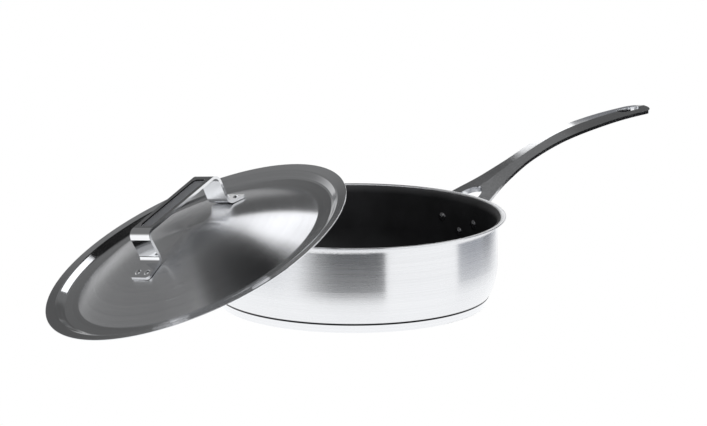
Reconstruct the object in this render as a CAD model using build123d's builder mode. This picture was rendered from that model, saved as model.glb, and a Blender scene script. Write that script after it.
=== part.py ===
from build123d import *
import math
import os

os.makedirs("parts", exist_ok=True)

# Frame: origin at the centre of the pan's underside, +Z up, +X along the long handle.
# All lengths are in millimetres and all angles are in degrees.

# Pan shell
sheet_thick = 1.0          # steel of the shell
wall_outer_r = 121.3       # outside radius of the upright wall
pan_height = 74.2          # underside of the base to the top of the rim
flare_r = 5.4              # outside radius of the curve that turns out into the rim
rim_flat = 1.3             # flat lip beyond that curve
rim_edge_r = wall_outer_r + flare_r + rim_flat
rim_round = 0.45           # rounding of the rim's outer edge
corner_top_z = 36.0        # height where the wall begins to curve in
corner_r = 62.0            # large radius of the lower wall
shell_floor_z = 4.6        # underside of the shell's flat floor
corner_join_rise = 3.74    # height over the floor where a small radius takes over

# Coating inside the pan, which runs on over part of the rim's curve
coat_thick = 0.3
coat_turn = 60.0

# Base
cap_thick = 0.8
cap_seam_drop = 0.44       # upper edge of the cap, below and inside the start of the small radius
cap_seam_inset = 0.19
cap_taper = 2.1            # how much narrower the cap is at the table
cap_foot_round = 1.2
cap_edge_chamfer = 0.6
core_clearance = 0.35      # between the aluminium disc and the end of the flat floor

# Handle rivets, with heights measured down from the rim
rivet_upper_drop = 22.4
rivet_lower_drop = 32.3
rivet_spread = 9.5         # angle of the upper rivets to each side of the handle
shank_r = 2.4
shank_gap = 0.05           # clearance around a shank
head_r = 3.9
head_rise = 1.6
tail_r = 3.6
tail_rise = 1.2

# Handle bracket that hugs the wall, with heights measured down from the rim
bracket_thick = 2.8
bracket_gap = 0.02         # assembly clearance to the wall
bracket_half = 27.4
bracket_top_drop = 8.0
bracket_foot_drop = 37.0
bracket_corner_r = 5.0

# Handle bar: lower edge seen from the side, as distance from the wall and height over the rim
bar_reach = 222.6          # distance of the tip from the wall
bar_side_steps = [
    (-9.3, -14.0),
    (2.7, -9.2),
    (14.7, -4.1),
    (25.7, 0.7),
    (38.7, 6.4),
    (54.3, 13.1),
    (68.7, 19.1),
    (85.2, 25.4),
    (98.7, 30.0),
    (112.9, 34.1),
    (128.7, 37.5),
    (151.2, 40.9),
    (170.9, 43.2),
    (190.8, 44.8),
    (210.9, 45.8),
    (bar_reach, 46.2),
]
bar_edge_thick = 2.8       # thickness along both edges
ridge_fall = 6.5           # slope of each upper facet away from the centre ridge
facet_depth = 22.0         # how far the facet solids reach down

# Handle bar: outline seen from above, as distance from the wall and half width
bar_plan_steps = [
    (-9.3, 27.2),
    (2.7, 26.2),
    (14.7, 23.4),
    (21.7, 21.1),
    (28.7, 18.6),
    (36.7, 16.2),
    (46.7, 14.2),
    (58.7, 12.3),
    (70.7, 11.1),
    (83.7, 11.2),
    (100.7, 12.0),
    (121.7, 13.5),
    (138.7, 14.0),
    (bar_reach, 14.0),
]
tip_corner_r = 11.0

# Opening between the two arms of the handle, in the same way
fork_plan_steps = [
    (-9.3, 15.0),
    (2.7, 13.6),
    (10.7, 11.4),
    (16.7, 8.8),
    (20.5, 5.2),
]
fork_end_reach = 22.6

# Hanging slot near the tip
slot_reach = 202.2         # distance of its centre from the wall
slot_length = 25.0
slot_width = 11.0

# Lid sheet
lid_thick = 1.0
lid_overhang = 6.75        # how far the lid reaches past the rim
lid_r = rim_edge_r + lid_overhang
lid_steps = [              # steps of the flange and ring groove, inwards and down from the edge
    (0, 0),
    (7.85, 0.9),
    (9.35, 1.4),
    (13.55, 4.9),
    (15.15, 5.5),
    (27.25, 5.95),
]
lid_profile = [(lid_r - inset, -drop) for inset, drop in lid_steps]
apex_rise = 20.3           # top of the dome over the plane of the edge
lid_edge_round = 0.35

# Where the lid rests: its lower edge on the table, its underside against the rim
lid_tilt = 24.93
lid_lean = 164.86          # compass angle of the low side, from +X
lid_stand_off = 9.86       # centre of the lid's edge, past the rim, to one side and below the rim
lid_side_step = 40.64
lid_drop = 16.39

# Lid grip, a bent strap
grip_turn = -21.0          # grip direction in the lid's plane, from the uphill line
strap_thick = 2.3
strap_half = 11.8
grip_foot_end = 64.0
grip_foot_mid = 56.5       # where the flat foot touches the dome
grip_waist = 44.0
grip_shoulder = 45.2
grip_top = 45.8            # height of the top face over the plane of the edge
grip_bend_r = 6.0
grip_gap = 0.05            # assembly clearance between foot and lid
foot_corner_r = 4.0
dimple_length = 72.0       # pressed hollow along the top of the grip
dimple_width = 15.0
dimple_depth = 1.1
dimple_corner_r = 4.0
dimple_wall = 1.0          # how much narrower the hollow is at its floor

# Lid rivets
lid_rivet_s = 57.4         # distance from the lid's axis along the grip
lid_rivet_q = 5.4          # distance to each side of the grip's centre line
lid_shank_r = 1.6
lid_head_r = 2.9
lid_head_rise = 1.2
lid_tail_r = 2.6
lid_tail_rise = 0.8
lid_tail_gap = 0.20        # the tail clears the curve of the dome by this much

overrun = 20.0             # extra length of cutting solids


def radial_plane(angle, height):
    """Plane on the pan's axis that faces outwards at a compass angle."""
    c = math.cos(math.radians(angle))
    s = math.sin(math.radians(angle))
    return Plane(origin=(0, 0, height), x_dir=(-s, c, 0), z_dir=(c, s, 0))


# Where the large radius of the lower wall meets the small one, and the small one's centre
big_x = wall_outer_r - corner_r
turn = math.asin((corner_top_z - shell_floor_z - corner_join_rise) / corner_r)
turn_angle = math.degrees(turn)
join_x = big_x + corner_r * math.cos(turn)
join_z = shell_floor_z + corner_join_rise
small_r = corner_join_rise / (1 - math.sin(turn))
small_x = join_x - small_r * math.cos(turn)
small_z = shell_floor_z + small_r


def wall_section(inset, top_z):
    """Upper, corner and floor lines of the wall, set in from its outside face."""
    floor_z = shell_floor_z + inset
    Line((wall_outer_r - inset, top_z), (wall_outer_r - inset, corner_top_z))
    CenterArc((big_x, corner_top_z), corner_r - inset, 0, -turn_angle)
    CenterArc((small_x, small_z), small_r - inset, -turn_angle, turn_angle - 90)
    Line((small_x, floor_z), (0, floor_z))
    return floor_z


def dome_mid(radius, rise):
    """Radius and height of the point halfway up a domed head."""
    ball = (radius * radius + rise * rise) / (2 * rise)
    half = math.asin(radius / ball) / 2
    return ball * math.sin(half), rise - ball * (1 - math.cos(half))


rivet_spots = [
    (rivet_spread, pan_height - rivet_upper_drop),
    (-rivet_spread, pan_height - rivet_upper_drop),
    (0, pan_height - rivet_lower_drop),
]

flare_x = wall_outer_r + flare_r
flare_z = pan_height - sheet_thick - flare_r

# Pan shell with its flared pouring rim
with BuildPart() as pan_body:
    with BuildSketch(Plane.XZ):
        with BuildLine():
            low = wall_section(0, flare_z)
            high = wall_section(sheet_thick, flare_z)
            Line((0, low), (0, high))
            CenterArc((flare_x, flare_z), flare_r, 180, -90)
            CenterArc((flare_x, flare_z), flare_r + sheet_thick, 180, -90)
            Line((flare_x, flare_z + flare_r), (rim_edge_r, flare_z + flare_r))
            Line((flare_x, pan_height), (rim_edge_r, pan_height))
            Line((rim_edge_r, flare_z + flare_r), (rim_edge_r, pan_height))
        make_face()
    revolve(axis=Axis.Z)
    rings = pan_body.edges().filter_by(GeomType.CIRCLE)
    fillet(rings.filter_by(lambda e: abs(e.radius - rim_edge_r) < rim_round), rim_round)
    for angle, height in rivet_spots:
        with BuildSketch(radial_plane(angle, height)):
            Circle(shank_r + shank_gap)
        extrude(amount=wall_outer_r + overrun, mode=Mode.SUBTRACT)
pan_body.part.label = "pan_body"
export_step(pan_body.part, "parts/pan_body.step")

# Dark coating inside the pan, up to the bare lip of the rim
with BuildPart() as nonstick_coating:
    with BuildSketch(Plane.XZ):
        with BuildLine():
            low = wall_section(sheet_thick, flare_z)
            high = wall_section(sheet_thick + coat_thick, flare_z)
            Line((0, low), (0, high))
            under = CenterArc((flare_x, flare_z), flare_r + sheet_thick, 180, -coat_turn)
            over = CenterArc((flare_x, flare_z), flare_r + sheet_thick + coat_thick, 180, -coat_turn)
            Line(under @ 1, over @ 1)
        make_face()
    revolve(axis=Axis.Z)
    for angle, height in rivet_spots:
        with BuildSketch(radial_plane(angle, height)):
            Circle(shank_r + shank_gap)
        extrude(amount=wall_outer_r + overrun, mode=Mode.SUBTRACT)
nonstick_coating.part.label = "nonstick_coating"
export_step(nonstick_coating.part, "parts/nonstick_coating.step")

cap_top_r = join_x - cap_seam_inset
cap_top_z = join_z - cap_seam_drop
core_r = small_x - core_clearance

# Aluminium disc sealed inside the base
with BuildPart() as base_core:
    with BuildSketch(Plane.XY.offset(cap_thick)):
        Circle(core_r)
    extrude(amount=shell_floor_z - cap_thick)
base_core.part.label = "base_core"
export_step(base_core.part, "parts/base_core.step")

# Cap that closes the base, a shallow cup cut to the shell above it
with BuildPart() as base_cap:
    with BuildSketch(Plane.XZ):
        with BuildLine():
            Polyline(
                (0, 0),
                (cap_top_r - cap_taper, 0),
                (cap_top_r, cap_top_z),
                (0, cap_top_z),
                (0, 0),
            )
        make_face()
    revolve(axis=Axis.Z)
    rings = base_cap.edges().filter_by(GeomType.CIRCLE).sort_by(Axis.Z)
    fillet(rings[0], cap_foot_round)
    rings = base_cap.edges().filter_by(GeomType.CIRCLE).sort_by(Axis.Z)
    chamfer(rings[-1], cap_edge_chamfer)
    with BuildSketch(Plane.XZ):
        with BuildLine():
            low = wall_section(0, pan_height)
            Line((0, low), (0, pan_height))
            Line((0, pan_height), (wall_outer_r, pan_height))
        make_face()
    revolve(axis=Axis.Z, mode=Mode.SUBTRACT)
    with BuildSketch(Plane.XY.offset(cap_thick)):
        Circle(core_r)
    extrude(amount=shell_floor_z, mode=Mode.SUBTRACT)
base_cap.part.label = "base_cap"
export_step(base_cap.part, "parts/base_cap.step")

bar_side = [(wall_outer_r + x, pan_height + z) for x, z in bar_side_steps]
bar_plan = [(wall_outer_r + x, y) for x, y in bar_plan_steps]
fork_plan = [(wall_outer_r + x, y) for x, y in fork_plan_steps]
slot_centre_x = wall_outer_r + slot_reach
fall = math.radians(ridge_fall)


def half_width(x):
    """Half width of the handle bar at a distance from the axis."""
    for (x0, y0), (x1, y1) in zip(bar_plan, bar_plan[1:]):
        if x <= x1:
            return y0 + (y1 - y0) * (x - x0) / (x1 - x0)
    return bar_plan[-1][1]


ridge_line = [(x, z + bar_edge_thick + half_width(x) * math.tan(fall)) for x, z in bar_side]

# Long handle: two arms that join into one bar, on a plate curved to the wall
with BuildPart() as handle:
    # Side outline, extruded across the handle
    with BuildSketch(Plane.XZ):
        with BuildLine():
            under = Spline(*bar_side)
            over = Spline(*ridge_line)
            Line(under @ 0, over @ 0)
            Line(under @ 1, over @ 1)
        make_face()
    extrude(amount=bracket_half + overrun, both=True)
    # Upper facets that fall away from the centre ridge
    with BuildPart(mode=Mode.PRIVATE) as facets:
        with BuildSketch(Plane.XZ):
            with BuildLine():
                ridge = Spline(*ridge_line)
                keel = Spline(*[(x, z - facet_depth) for x, z in bar_side])
                Line(ridge @ 0, keel @ 0)
                Line(ridge @ 1, keel @ 1)
            make_face()
        face = facets.pending_faces[0]
        across = bracket_half + overrun
        extrude(to_extrude=face, amount=across, dir=(0, math.cos(fall), -math.sin(fall)))
        extrude(to_extrude=face, amount=across, dir=(0, -math.cos(fall), -math.sin(fall)))
    add(facets.part, mode=Mode.INTERSECT)
    # Outline from above
    with BuildSketch(Plane.XY):
        with BuildLine():
            left = Spline(*bar_plan)
            right = Spline(*[(x, -y) for x, y in bar_plan])
            Line(left @ 0, right @ 0)
            Line(left @ 1, right @ 1)
        make_face()
        tips = [v for v in vertices() if v.X > slot_centre_x]
        fillet(tips, tip_corner_r)
    extrude(amount=pan_height + wall_outer_r, mode=Mode.INTERSECT)
    # Opening between the arms
    with BuildSketch(Plane.XY):
        with BuildLine():
            near = [(x, -y) for x, y in reversed(fork_plan)]
            inner = Spline(*fork_plan, (wall_outer_r + fork_end_reach, 0), *near)
            Line(inner @ 0, inner @ 1)
        make_face()
    extrude(amount=pan_height + wall_outer_r, mode=Mode.SUBTRACT)
    # Hanging slot
    with BuildSketch(Plane.XY):
        with Locations((slot_centre_x, 0)):
            SlotOverall(slot_length, slot_width)
    extrude(amount=pan_height + wall_outer_r, mode=Mode.SUBTRACT)
    # Plate against the wall
    with BuildPart(mode=Mode.PRIVATE) as bracket:
        with BuildSketch(Plane.YZ):
            with Locations((0, pan_height - (bracket_top_drop + bracket_foot_drop) / 2)):
                RectangleRounded(2 * bracket_half, bracket_foot_drop - bracket_top_drop, bracket_corner_r)
        extrude(amount=wall_outer_r + overrun)
        with BuildSketch(Plane.XY):
            Circle(wall_outer_r + bracket_gap + bracket_thick)
        extrude(amount=pan_height, mode=Mode.INTERSECT)
    add(bracket.part)
    # Clear everything inside the wall, then drill for the rivets
    with BuildSketch(Plane.XY):
        Circle(wall_outer_r + bracket_gap)
    extrude(amount=pan_height, mode=Mode.SUBTRACT)
    for angle, height in rivet_spots:
        with BuildSketch(radial_plane(angle, height)):
            Circle(shank_r + shank_gap)
        extrude(amount=wall_outer_r + overrun, mode=Mode.SUBTRACT)
        with BuildSketch(radial_plane(angle, height).offset(wall_outer_r + bracket_gap + bracket_thick)):
            Circle(tail_r + shank_gap)
        extrude(amount=overrun, mode=Mode.SUBTRACT)
handle.part.label = "handle"
export_step(handle.part, "parts/handle.step")

# Three rivets: domed heads inside the pan, flatter tails on the plate
with BuildPart() as handle_rivets:
    for angle, height in rivet_spots:
        inner_x = wall_outer_r - sheet_thick - coat_thick
        head_x = math.sqrt(inner_x * inner_x - head_r * head_r)
        tail_x = wall_outer_r + bracket_gap + bracket_thick
        head_mid = dome_mid(head_r, head_rise)
        tail_mid = dome_mid(tail_r, tail_rise)
        plane = radial_plane(angle, height)
        section = Plane(origin=plane.origin, x_dir=plane.z_dir, z_dir=plane.x_dir * -1)
        with BuildSketch(section):
            with BuildLine():
                Line((head_x - head_rise, 0), (tail_x + tail_rise, 0))
                ThreePointArc(
                    (head_x - head_rise, 0),
                    (head_x - head_mid[1], head_mid[0]),
                    (head_x, head_r),
                )
                Polyline(
                    (head_x, head_r),
                    (head_x, shank_r),
                    (tail_x, shank_r),
                    (tail_x, tail_r),
                )
                ThreePointArc(
                    (tail_x, tail_r),
                    (tail_x + tail_mid[1], tail_mid[0]),
                    (tail_x + tail_rise, 0),
                )
            make_face()
        revolve(axis=Axis(plane.origin, plane.z_dir))
handle_rivets.part.label = "handle_rivets"
export_step(handle_rivets.part, "parts/handle_rivets.step")

# Directions of the leaning lid
tilt = math.radians(lid_tilt)
lean = math.radians(lid_lean)
grip_angle = math.radians(grip_turn)
up_hill = Vector(
    -math.cos(lean) * math.cos(tilt),
    -math.sin(lean) * math.cos(tilt),
    math.sin(tilt),
)
level = Vector(-math.sin(lean), math.cos(lean), 0)
lid_axis = Vector(math.sin(tilt) * math.cos(lean), math.sin(tilt) * math.sin(lean), math.cos(tilt))
grip_dir = up_hill * math.cos(grip_angle) + level * math.sin(grip_angle)
grip_side = lid_axis.cross(grip_dir)
lid_centre = Vector(-rim_edge_r - lid_stand_off, lid_side_step, pan_height - lid_drop)
lid_plane = Plane(origin=lid_centre, x_dir=grip_dir, z_dir=lid_axis)
lid_section = Plane(origin=lid_centre, x_dir=grip_dir, z_dir=grip_side * -1)
lid_line = Axis(lid_centre, lid_axis)

crease_r = lid_profile[-1][0]
crease_w = lid_profile[-1][1]
dome_rise = apex_rise - crease_w
dome_r = (crease_r * crease_r + dome_rise * dome_rise) / (2 * dome_rise)
dome_low = apex_rise - dome_r
foot_slope = math.asin(grip_foot_mid / dome_r)


def foot_height(distance):
    """Height over the plane of the edge of the flat on which the grip's feet stand."""
    touch = dome_low + dome_r * math.cos(foot_slope)
    return touch - math.tan(foot_slope) * (distance - grip_foot_mid)


lid_rivet_spots = [
    (end, side)
    for end in (-1, 1)
    for side in (-1, 1)
]


def lid_rivet_plane(end, side):
    """Plane square to the grip's foot where a lid rivet goes through it."""
    spot = lid_plane.from_local_coords(
        (end * lid_rivet_s, side * lid_rivet_q, foot_height(lid_rivet_s))
    )
    out = lid_axis * math.cos(foot_slope) + grip_dir * (end * math.sin(foot_slope))
    return Plane(origin=spot, x_dir=grip_side, z_dir=out)


# Lid sheet: flat flange, step, shallow ring groove and dome
with BuildPart() as lid_disc:
    with BuildSketch(lid_section):
        with BuildLine():
            low_points = [(x, w - lid_thick) for x, w in lid_profile]
            dome_start = math.degrees(math.acos(crease_r / dome_r))
            Polyline(*lid_profile)
            Polyline(*low_points)
            CenterArc((0, dome_low), dome_r, dome_start, 90 - dome_start)
            CenterArc((0, dome_low - lid_thick), dome_r, dome_start, 90 - dome_start)
            Line(lid_profile[0], low_points[0])
            Line((0, apex_rise), (0, apex_rise - lid_thick))
        make_face()
    revolve(axis=lid_line)
    rings = lid_disc.edges().filter_by(GeomType.CIRCLE)
    fillet(rings.filter_by(lambda e: abs(e.radius - lid_r) < lid_edge_round), lid_edge_round)
    for end, side in lid_rivet_spots:
        with BuildSketch(lid_rivet_plane(end, side)):
            Circle(lid_shank_r + shank_gap)
        extrude(amount=overrun, both=True, mode=Mode.SUBTRACT)
lid_disc.part.label = "lid_disc"
export_step(lid_disc.part, "parts/lid_disc.step")

# Lid grip: a strap bent over the lid, with a pressed hollow along its top
strap_mid = strap_thick / 2
foot_lift = (strap_mid + grip_gap) / math.cos(foot_slope)
with BuildPart() as lid_handle:
    with BuildSketch(lid_section):
        with BuildLine() as strap_path:
            FilletPolyline(
                (-grip_foot_end, foot_height(grip_foot_end) + foot_lift),
                (-grip_waist, foot_height(grip_waist) + foot_lift),
                (-grip_shoulder, grip_top - strap_mid),
                (grip_shoulder, grip_top - strap_mid),
                (grip_waist, foot_height(grip_waist) + foot_lift),
                (grip_foot_end, foot_height(grip_foot_end) + foot_lift),
                radius=grip_bend_r,
            )
        trace(line_width=strap_thick)
    extrude(amount=strap_half, both=True)
    with BuildSketch(lid_plane):
        RectangleRounded(2 * grip_foot_end, 2 * strap_half, foot_corner_r)
    extrude(amount=grip_top + overrun, mode=Mode.INTERSECT)
    with BuildSketch(lid_plane.offset(grip_top)):
        RectangleRounded(dimple_length, dimple_width, dimple_corner_r)
    with BuildSketch(lid_plane.offset(grip_top - dimple_depth)):
        floor_corner_r = dimple_corner_r - dimple_wall
        RectangleRounded(dimple_length - dimple_wall * 2, dimple_width - dimple_wall * 2, floor_corner_r)
    loft(mode=Mode.SUBTRACT)
    for end, side in lid_rivet_spots:
        with BuildSketch(lid_rivet_plane(end, side)):
            Circle(lid_shank_r + shank_gap)
        extrude(amount=lid_head_r + strap_thick, mode=Mode.SUBTRACT)
lid_handle.part.label = "lid_handle"
export_step(lid_handle.part, "parts/lid_handle.step")

# Four rivets that hold the grip's feet to the lid
with BuildPart() as lid_rivets:
    foot_top = grip_gap + strap_thick
    under = -lid_thick * math.cos(foot_slope) - lid_tail_gap
    head_mid = dome_mid(lid_head_r, lid_head_rise)
    tail_mid = dome_mid(lid_tail_r, lid_tail_rise)
    for end, side in lid_rivet_spots:
        plane = lid_rivet_plane(end, side)
        section = Plane(origin=plane.origin, x_dir=plane.x_dir, z_dir=plane.y_dir * -1)
        with BuildSketch(section):
            with BuildLine():
                Line((0, under - lid_tail_rise), (0, foot_top + lid_head_rise))
                ThreePointArc(
                    (0, foot_top + lid_head_rise),
                    (head_mid[0], foot_top + head_mid[1]),
                    (lid_head_r, foot_top),
                )
                Polyline(
                    (lid_head_r, foot_top),
                    (lid_shank_r, foot_top),
                    (lid_shank_r, under),
                    (lid_tail_r, under),
                )
                ThreePointArc(
                    (lid_tail_r, under),
                    (tail_mid[0], under - tail_mid[1]),
                    (0, under - lid_tail_rise),
                )
            make_face()
        revolve(axis=Axis(plane.origin, plane.z_dir))
lid_rivets.part.label = "lid_rivets"
export_step(lid_rivets.part, "parts/lid_rivets.step")
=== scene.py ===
import math

import bpy
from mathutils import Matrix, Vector

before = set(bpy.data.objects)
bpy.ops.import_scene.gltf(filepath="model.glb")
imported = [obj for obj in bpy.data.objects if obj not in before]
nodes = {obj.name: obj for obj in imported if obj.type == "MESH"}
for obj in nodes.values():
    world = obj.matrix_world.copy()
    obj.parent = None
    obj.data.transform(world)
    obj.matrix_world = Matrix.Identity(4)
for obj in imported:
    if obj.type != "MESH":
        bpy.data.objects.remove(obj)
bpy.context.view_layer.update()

# Directions of the leaning lid, in the row frame
TILT = math.radians(24.93)
LEAN = math.radians(164.86)
LID_AXIS = Vector((math.sin(TILT) * math.cos(LEAN), math.sin(TILT) * math.sin(LEAN), math.cos(TILT)))
GRIP_TURN = math.radians(-21.0)
UPHILL = Vector((-math.cos(LEAN) * math.cos(TILT), -math.sin(LEAN) * math.cos(TILT), math.sin(TILT)))
GRIP_WAY = UPHILL * math.cos(GRIP_TURN) + Vector((-math.sin(LEAN), math.cos(LEAN), 0)) * math.sin(GRIP_TURN)
GRIP_SIDE = LID_AXIS.cross(GRIP_WAY)
LID_CENTRE = Vector((-0.13786, 0.04064, 0.05781))

# The camera stands this far round from the handle and this high
CAMERA_TURN = math.radians(-41.0)
CAMERA_RISE = math.radians(12.376)
CAMERA_DISTANCE = 3.18668
CAMERA_TARGET = Vector((0, 0, 0.0756))
LENS = 193.49
SENSOR_WIDTH = 36.0

# Soft borders on the part that the shading follows, each from start to end, in metres
CAP_EDGE_HEIGHT = (0.0066, 0.0069)
SHELL_EDGE_HEIGHT = (0.0083, 0.0086)
PAN_INSIDE_RADIUS = (0.1200, 0.1206)
LID_FLANGE_RADIUS = (0.107, 0.1085)

# The pressed hollow of the grip: its lip, floor and a level under the floor, measured
# from the plane of the lid's edge, and its half length and half width
HOLLOW_LIP = (0.04572, 0.04578)
HOLLOW_FLOOR = (0.04474, 0.04480)
HOLLOW_UNDER = (0.0440, 0.0441)
HOLLOW_LENGTH = (0.0362, 0.0364)
HOLLOW_WIDTH = (0.0076, 0.0078)


def polar(azimuth, elevation, distance=1.0):
    """A point seen from the pan: azimuth 0 is towards the camera, positive is to its right."""
    a = CAMERA_TURN + math.radians(azimuth)
    e = math.radians(elevation)
    return Vector((
        distance * math.cos(e) * math.sin(a),
        -distance * math.cos(e) * math.cos(a),
        distance * math.sin(e),
    ))


class Graph:
    """Small helper that adds nodes to a tree and joins them."""

    def __init__(self, tree):
        self.tree = tree
        tree.nodes.clear()

    def add(self, kind, **settings):
        node = self.tree.nodes.new(kind)
        for key, value in settings.items():
            setattr(node, key, value)
        return node

    def join(self, source, target):
        self.tree.links.new(source, target)

    def put(self, socket, value):
        if isinstance(value, bpy.types.NodeSocket):
            self.join(value, socket)
        else:
            socket.default_value = value

    def math(self, operation, *values, clamp=False):
        node = self.add("ShaderNodeMath", operation=operation, use_clamp=clamp)
        for socket, value in zip(node.inputs, values):
            self.put(socket, value)
        return node.outputs[0]

    def vector(self, operation, *values):
        node = self.add("ShaderNodeVectorMath", operation=operation)
        for socket, value in zip(node.inputs, values):
            self.put(socket, value)
        if operation in ("DOT_PRODUCT", "LENGTH"):
            return node.outputs["Value"]
        return node.outputs["Vector"]

    def smooth(self, value, low, high, start=0.0, end=1.0):
        node = self.add("ShaderNodeMapRange", interpolation_type="SMOOTHSTEP")
        self.put(node.inputs["Value"], value)
        self.put(node.inputs["From Min"], low)
        self.put(node.inputs["From Max"], high)
        self.put(node.inputs["To Min"], start)
        self.put(node.inputs["To Max"], end)
        return node.outputs["Result"]

    def band(self, value, low, high, soft):
        """One between low and high, fading to zero over a soft border."""
        rise = self.smooth(value, low - soft, low + soft)
        fall = self.smooth(value, high - soft, high + soft, 1.0, 0.0)
        return self.math("MULTIPLY", rise, fall)

    def noise(self, where, scale, detail=3.0, rough=0.55):
        node = self.add("ShaderNodeTexNoise")
        self.join(where, node.inputs["Vector"])
        node.inputs["Scale"].default_value = scale
        node.inputs["Detail"].default_value = detail
        node.inputs["Roughness"].default_value = rough
        return node.outputs["Fac"]

    def combine(self, x, y, z):
        node = self.add("ShaderNodeCombineXYZ")
        for socket, value in zip(node.inputs, (x, y, z)):
            self.put(socket, value)
        return node.outputs[0]

    def mix(self, factor, first, second):
        node = self.add("ShaderNodeMix", data_type="RGBA")
        self.put(node.inputs["Factor"], factor)
        self.put(node.inputs["A"], first)
        self.put(node.inputs["B"], second)
        return node.outputs["Result"]

    def bump(self, height, strength, distance):
        node = self.add("ShaderNodeBump")
        node.inputs["Strength"].default_value = strength
        node.inputs["Distance"].default_value = distance
        self.join(height, node.inputs["Height"])
        return node.outputs["Normal"]


def new_material(name):
    material = bpy.data.materials.new(name)
    material.use_nodes = True
    return material, Graph(material.node_tree)


def give(node_name, material):
    mesh = nodes[node_name].data
    mesh.materials.clear()
    mesh.materials.append(material)


def finish_metal(graph, colour, rough, normal=None, tangent=None, anisotropy=0.0):
    """A metal surface from its colour, roughness, normal and brushing direction."""
    shader = graph.add("ShaderNodeBsdfPrincipled")
    shader.inputs["Metallic"].default_value = 1.0
    shader.inputs["Anisotropic"].default_value = anisotropy
    graph.put(shader.inputs["Base Color"], colour)
    graph.put(shader.inputs["Roughness"], rough)
    if normal is not None:
        graph.join(normal, shader.inputs["Normal"])
    if tangent is not None:
        graph.join(tangent, shader.inputs["Tangent"])
    out = graph.add("ShaderNodeOutputMaterial")
    graph.join(shader.outputs[0], out.inputs["Surface"])
    return shader


def around_axis(graph, centre, axis):
    """Distance from an axis, height along it, and the tangent square to the brush lines."""
    place = graph.add("ShaderNodeTexCoord").outputs["Object"]
    offset = graph.vector("SUBTRACT", place, tuple(centre))
    height = graph.vector("DOT_PRODUCT", offset, tuple(axis))
    round_way = graph.vector("CROSS_PRODUCT", tuple(axis), offset)
    radius = graph.vector("LENGTH", round_way)
    normal = graph.add("ShaderNodeNewGeometry").outputs["Normal"]
    tangent = graph.vector("NORMALIZE", graph.vector("CROSS_PRODUCT", normal, round_way))
    return place, radius, height, tangent


def brushed(name, colour, rough, anisotropy, centre, axis, lines, line_depth, shade=None, smooth_from=None):
    """Steel brushed in rings about an axis, darkened by painted shade and smoother past a soft border."""
    material, g = new_material(name)
    place, radius, height, tangent = around_axis(g, centre, axis)
    rings = g.combine(radius, height, 0.0)
    fine = g.noise(rings, lines, 4.0, 0.7)
    coarse = g.noise(rings, lines / 5.0, 2.0, 0.5)
    patch = g.noise(place, 14.0, 3.0, 0.6)
    streak = g.math("ADD", g.math("MULTIPLY", fine, 0.75), g.math("MULTIPLY", coarse, 0.25))
    tone = g.mix(g.smooth(streak, 0.3, 0.7), [c * 0.90 for c in colour] + [1.0], list(colour) + [1.0])
    wear = g.smooth(g.math("ADD", g.math("MULTIPLY", fine, 0.6), g.math("MULTIPLY", patch, 0.4)),
                    0.3, 0.7, rough * 0.9, rough * 1.1)
    if shade is not None:
        dark, black = shade(g, radius, height)
        tone = g.mix(dark, tone, black)
    if smooth_from is not None:
        wear = g.math("MULTIPLY", wear, g.smooth(radius, *smooth_from, 1.0, 0.4))
    normal = g.bump(streak, line_depth, 0.00005)
    finish_metal(g, tone, wear, normal, tangent, anisotropy)
    return material


def polished(name, colour, rough, wave=0.05, shade=False):
    """Bright polished steel with faint haze and hairline marks, dimmed inside the pan with shade."""
    material, g = new_material(name)
    place = g.add("ShaderNodeTexCoord").outputs["Object"]
    haze = g.noise(place, 22.0, 4.0, 0.6)
    marks = g.noise(g.vector("MULTIPLY", place, (120.0, 1400.0, 1400.0)), 1.0, 3.0, 0.7)
    tone = g.mix(g.smooth(haze, 0.35, 0.7), [c * 0.95 for c in colour] + [1.0], list(colour) + [1.0])
    shine = g.smooth(g.math("ADD", g.math("MULTIPLY", haze, 0.5), g.math("MULTIPLY", marks, 0.5)),
                     0.35, 0.65, rough * 0.75, rough * 1.35)
    if shade:
        flat = g.vector("MULTIPLY", place, (1.0, 1.0, 0.0))
        inside = g.smooth(g.vector("LENGTH", flat), *PAN_INSIDE_RADIUS, 1.0, 0.0)
        tone = g.mix(inside, tone, (0.24, 0.24, 0.25, 1.0))
    finish_metal(g, tone, shine, g.bump(haze, wave, 0.0004))
    return material


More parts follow.
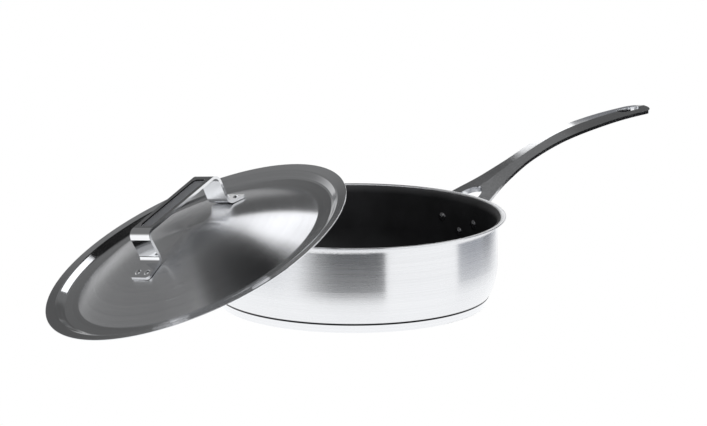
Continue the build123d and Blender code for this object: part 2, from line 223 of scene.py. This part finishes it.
def grip_steel():
    """Mirror steel whose pressed hollow has a matt floor and walls painted near black as painted shade."""
    material, g = new_material("grip_mirror_steel")
    place = g.add("ShaderNodeTexCoord").outputs["Object"]
    offset = g.vector("SUBTRACT", place, tuple(LID_CENTRE))
    along = g.math("ABSOLUTE", g.vector("DOT_PRODUCT", offset, tuple(GRIP_WAY)))
    across = g.math("ABSOLUTE", g.vector("DOT_PRODUCT", offset, tuple(GRIP_SIDE)))
    height = g.vector("DOT_PRODUCT", offset, tuple(LID_AXIS))
    haze = g.noise(place, 22.0, 4.0, 0.6)
    stretched = g.combine(g.math("MULTIPLY", along, 40.0), g.math("MULTIPLY", across, 2500.0), 0.0)
    lines = g.noise(stretched, 1.0, 3.0, 0.6)
    below = g.math("MULTIPLY", g.smooth(height, *HOLLOW_LIP, 1.0, 0.0), g.smooth(height, *HOLLOW_UNDER))
    ends = g.smooth(along, *HOLLOW_LENGTH, 1.0, 0.0)
    sides = g.smooth(across, *HOLLOW_WIDTH, 1.0, 0.0)
    hollow = g.math("MULTIPLY", below, g.math("MULTIPLY", ends, sides))
    floor = g.math("MULTIPLY", hollow, g.smooth(height, *HOLLOW_FLOOR, 1.0, 0.0))
    tone = g.mix(g.smooth(haze, 0.35, 0.7), (0.82, 0.83, 0.85, 1), (0.86, 0.87, 0.89, 1))
    # Painted shade: the walls of the hollow are painted near black
    tone = g.mix(hollow, tone, (0.03, 0.03, 0.032, 1))
    tone = g.mix(floor, tone, (0.60, 0.61, 0.64, 1))
    shine = g.smooth(haze, 0.35, 0.65, 0.05, 0.075)
    shine = g.math("ADD", shine, g.math("MULTIPLY", floor, g.smooth(lines, 0.3, 0.7, 0.34, 0.46)))
    finish_metal(g, tone, shine, g.bump(haze, 0.03, 0.0004))
    return material


def nonstick():
    """Dark non-stick coating: matte black with a fine pebble and faint mottling."""
    material, g = new_material("nonstick_black")
    place = g.add("ShaderNodeTexCoord").outputs["Object"]
    pebble = g.noise(place, 900.0, 3.0, 0.6)
    mottle = g.noise(place, 25.0, 3.0, 0.55)
    tone = g.mix(g.smooth(mottle, 0.3, 0.7), (0.010, 0.010, 0.011, 1), (0.020, 0.020, 0.022, 1))
    shader = g.add("ShaderNodeBsdfPrincipled")
    g.put(shader.inputs["Base Color"], tone)
    g.put(shader.inputs["Roughness"], g.smooth(pebble, 0.35, 0.65, 0.42, 0.56))
    shader.inputs["Specular IOR Level"].default_value = 0.4
    g.join(g.bump(pebble, 0.12, 0.0001), shader.inputs["Normal"])
    g.join(shader.outputs[0], g.add("ShaderNodeOutputMaterial").inputs["Surface"])
    return material


STEEL = (0.84, 0.85, 0.87)
BLACK = (0.02, 0.02, 0.022, 1.0)
UP = Vector((0, 0, 1))
BASE = Vector((0, 0, 0))


def shell_seam_painted_shadow(graph, radius, height):
    """Painted shadow in the groove where the shell meets the base cap."""
    return graph.smooth(height, *SHELL_EDGE_HEIGHT, 1.0, 0.0), BLACK


def cap_seam_painted_shadow(graph, radius, height):
    """Painted shadow along the upper edge of the base cap."""
    return graph.smooth(height, *CAP_EDGE_HEIGHT), BLACK


give("pan_body", brushed("pan_brushed_steel", STEEL, 0.27, 0.88, BASE, UP, 1700.0, 0.2, shell_seam_painted_shadow))
give("base_cap", brushed("base_turned_steel", STEEL, 0.18, 0.6, BASE, UP, 1100.0, 0.2, cap_seam_painted_shadow))
give("base_core", brushed("core_turned_aluminium", (0.78, 0.78, 0.79), 0.4, 0.4, BASE, UP, 900.0, 0.3))
give("lid_disc", brushed("lid_brushed_steel", STEEL, 0.25, 0.97, LID_CENTRE, LID_AXIS, 1500.0, 0.15,
                         smooth_from=LID_FLANGE_RADIUS))
give("handle", polished("handle_polished_steel", STEEL, 0.14))
give("handle_rivets", polished("rivet_polished_steel", STEEL, 0.2, shade=True))
give("lid_handle", grip_steel())
give("lid_rivets", polished("lid_rivet_steel", STEEL, 0.12))
give("nonstick_coating", nonstick())


def quad(name, corners, material):
    """A flat four-cornered piece of the studio."""
    mesh = bpy.data.meshes.new(name)
    mesh.from_pydata([tuple(c) for c in corners], [], [(0, 1, 2, 3)])
    obj = bpy.data.objects.new(name, mesh)
    bpy.context.scene.collection.objects.link(obj)
    mesh.materials.append(material)
    return obj


FLOOR_HALF = 9
FLOOR_HEIGHT = -0.0004


def floor_white():
    """Floor material: white to the camera and in mirrors, matt white to all other light."""
    material, g = new_material("studio_floor")
    path = g.add("ShaderNodeLightPath")
    seen = path.outputs["Is Camera Ray"]
    mirrored = g.math("MAXIMUM", path.outputs["Is Glossy Ray"], path.outputs["Is Transmission Ray"], clamp=True)
    diffuse = g.add("ShaderNodeBsdfDiffuse")
    diffuse.inputs["Color"].default_value = (0.9, 0.9, 0.9, 1)
    white = g.add("ShaderNodeEmission")
    white.inputs["Strength"].default_value = 1.0
    reflected = g.add("ShaderNodeEmission")
    reflected.inputs["Color"].default_value = (1, 1, 1, 1)
    reflected.inputs["Strength"].default_value = 1.12
    first = g.add("ShaderNodeMixShader")
    g.join(seen, first.inputs[0])
    g.join(diffuse.outputs[0], first.inputs[1])
    g.join(white.outputs[0], first.inputs[2])
    second = g.add("ShaderNodeMixShader")
    g.join(mirrored, second.inputs[0])
    g.join(first.outputs[0], second.inputs[1])
    g.join(reflected.outputs[0], second.inputs[2])
    g.join(second.outputs[0], g.add("ShaderNodeOutputMaterial").inputs["Surface"])
    return material


quad("studio_floor", [(-FLOOR_HALF, -FLOOR_HALF, FLOOR_HEIGHT), (FLOOR_HALF, -FLOOR_HALF, FLOOR_HEIGHT),
                      (FLOOR_HALF, FLOOR_HALF, FLOOR_HEIGHT), (-FLOOR_HALF, FLOOR_HALF, FLOOR_HEIGHT)],
     floor_white())


def soft_light(name, value, start, way, soft):
    """Even light that fades in along one direction, over a soft border."""
    material, g = new_material(name)
    offset = g.vector("SUBTRACT", g.add("ShaderNodeNewGeometry").outputs["Position"], tuple(start))
    light = g.add("ShaderNodeEmission")
    light.inputs["Color"].default_value = (*value, 1)
    clear = g.add("ShaderNodeBsdfTransparent")
    blend = g.add("ShaderNodeMixShader")
    g.join(g.smooth(g.vector("DOT_PRODUCT", offset, tuple(way)), 0.0, soft), blend.inputs[0])
    g.join(clear.outputs[0], blend.inputs[1])
    g.join(light.outputs[0], blend.inputs[2])
    g.join(blend.outputs[0], g.add("ShaderNodeOutputMaterial").inputs["Surface"])
    return material


def mirror_only(obj):
    """Keep a studio piece out of everything but polished metal."""
    obj.visible_camera = False
    obj.visible_diffuse = False
    obj.visible_shadow = False
    obj.visible_transmission = False


def card(name, left, right, height, value, soft=0.004):
    """An upright studio card on the table, with a soft left border."""
    top = Vector((0, 0, height))
    light = soft_light(name + "_glow", value, left, (right - left).normalized(), soft)
    mirror_only(quad(name, [left, right, right + top, left + top], light))


def aimed_card(name, source, turns, heights, distance, value, soft=0.004):
    """A card that fills a range of directions as seen from a point. Turn 0 is straight behind."""
    middle = polar(180 - sum(turns) / 2, sum(heights) / 2)
    left, right = turns
    low, high = heights
    corners = []
    for turn, height in ((left, low), (right, low), (right, high), (left, high)):
        way = polar(180 - turn, height)
        corners.append(source + way * (distance / way.dot(middle)))
    rise = (corners[3] - corners[0]).normalized()
    mirror_only(quad(name, corners, soft_light(name + "_glow", value, corners[0], rise, soft)))


def spot(right, away, up=0.0):
    """A point of the studio: right and away as the camera sees it, and height."""
    return polar(90, 0, right) - polar(0, 0, away) + Vector((0, 0, up))


def studio_world():
    """White to the camera, a plain studio with a few soft zones to everything else."""
    world = bpy.data.worlds.new("studio_world")
    bpy.context.scene.world = world
    world.use_nodes = True
    g = Graph(world.node_tree)
    ray = g.add("ShaderNodeLightPath")
    way = g.vector("NORMALIZE", g.add("ShaderNodeTexCoord").outputs["Generated"])
    right = g.vector("DOT_PRODUCT", way, tuple(polar(90, 0)))
    front = g.vector("DOT_PRODUCT", way, tuple(polar(0, 0)))
    high = g.vector("DOT_PRODUCT", way, tuple(UP))
    facing_turn = g.math("DEGREES", g.math("ARCTAN2", right, front))
    behind_turn = g.math("DEGREES", g.math("ARCTAN2", right, g.math("MULTIPLY", front, -1.0)))
    height = g.math("DEGREES", g.math("ARCSINE", high))
    zones = [
        # turn counted from, turn range, height range, softness of each, brightness
        (facing_turn, (-75, 95), (-90, 34), 12, 8, 1.0),
        (behind_turn, (20, 84), (-90, 34), 8, 8, 0.42),
        (behind_turn, (-130, -24), (8, 60), 6, 6, 0.19),
        (behind_turn, (-25, 45), (14, 50), 5, 3, 0.10),
        (behind_turn, (-25, 45), (36, 62), 5, 4, 0.17),
        (behind_turn, (-60, -18), (50, 120), 5, 3, 0.012),
        (behind_turn, (-140, -50), (60, 120), 5, 3, 0.012),
        (behind_turn, (-200, 200), (68, 120), 9, 4, 0.012),
    ]
    studio = 0.6
    for turned, across, upright, soft_turn, soft_height, value in zones:
        inside = g.math("MULTIPLY", g.band(turned, *across, soft_turn), g.band(height, *upright, soft_height))
        fresh = g.math("MULTIPLY", inside, value)
        kept = g.math("MULTIPLY", g.math("SUBTRACT", 1.0, inside), studio)
        studio = g.math("ADD", fresh, kept)
    strength = g.mix(ray.outputs["Is Camera Ray"], g.combine(studio, studio, studio), (1, 1, 1, 1))
    background = g.add("ShaderNodeBackground")
    g.join(strength, background.inputs["Color"])
    g.join(background.outputs[0], g.add("ShaderNodeOutputWorld").inputs["Surface"])


studio_world()

GREY_BLUE = (0.29, 0.305, 0.345)
BLACK_LIGHT = (0.012, 0.012, 0.013)
card("front_card", spot(-0.20, -0.213), spot(0.0705, -0.213), 0.30, (0.07, 0.073, 0.08), 0.17)
card("right_card", spot(0.255, -0.086), spot(0.255, 0.038), 0.085, GREY_BLUE)
card("low_right_card", spot(0.255, 0.038), spot(0.255, 0.26), 0.033, GREY_BLUE)
card("root_card", spot(0.256, 0.040), spot(0.256, 0.115), 0.078, BLACK_LIGHT)
card("far_card", spot(0.43, 0.03), spot(0.43, 0.33), 0.11, BLACK_LIGHT)
aimed_card("fan_card", spot(-0.086, -0.089, 0.090), (-16, 25), (34, 64), 0.42, (1.45, 1.45, 1.47), 0.01)
aimed_card("handle_card", spot(0.174, 0.151, 0.112), (-18, 2), (11, 26), 0.35, (1.4, 1.4, 1.4), 0.01)
aimed_card("tip_card", spot(0.235, 0.210, 0.122), (-10, 6), (1, 12), 0.30, (0.17, 0.175, 0.19), 0.01)


def lamp(name, azimuth, elevation, distance, size, power):
    """A softbox that faces the pan and doesn't show in mirrors."""
    light = bpy.data.lights.new(name, "AREA")
    light.shape = "RECTANGLE"
    light.size = size[0]
    light.size_y = size[1]
    light.energy = power
    obj = bpy.data.objects.new(name, light)
    bpy.context.scene.collection.objects.link(obj)
    obj.location = Vector((0, 0, 0.05)) + polar(azimuth, elevation, distance)
    obj.rotation_euler = polar(azimuth, elevation).to_track_quat("Z", "Y").to_euler()
    obj.visible_glossy = False


lamp("key_softbox", 65, 40, 1.6, (0.9, 0.7), 12)
lamp("top_softbox", -120, 70, 1.6, (0.8, 0.8), 8)


def set_camera():
    """The camera that the photograph was fitted with."""
    camera = bpy.data.cameras.new("camera")
    camera.lens = LENS
    camera.sensor_width = SENSOR_WIDTH
    camera.clip_end = 50.0
    camera_object = bpy.data.objects.new("camera", camera)
    bpy.context.scene.collection.objects.link(camera_object)
    camera_object.location = CAMERA_TARGET + Vector((
        CAMERA_DISTANCE * math.cos(CAMERA_RISE) * math.sin(CAMERA_TURN),
        -CAMERA_DISTANCE * math.cos(CAMERA_RISE) * math.cos(CAMERA_TURN),
        CAMERA_DISTANCE * math.sin(CAMERA_RISE),
    ))
    looking = camera_object.location - CAMERA_TARGET
    camera_object.rotation_euler = looking.to_track_quat("Z", "Y").to_euler()
    bpy.context.scene.camera = camera_object


set_camera()
bpy.context.scene.view_settings.view_transform = "Standard"
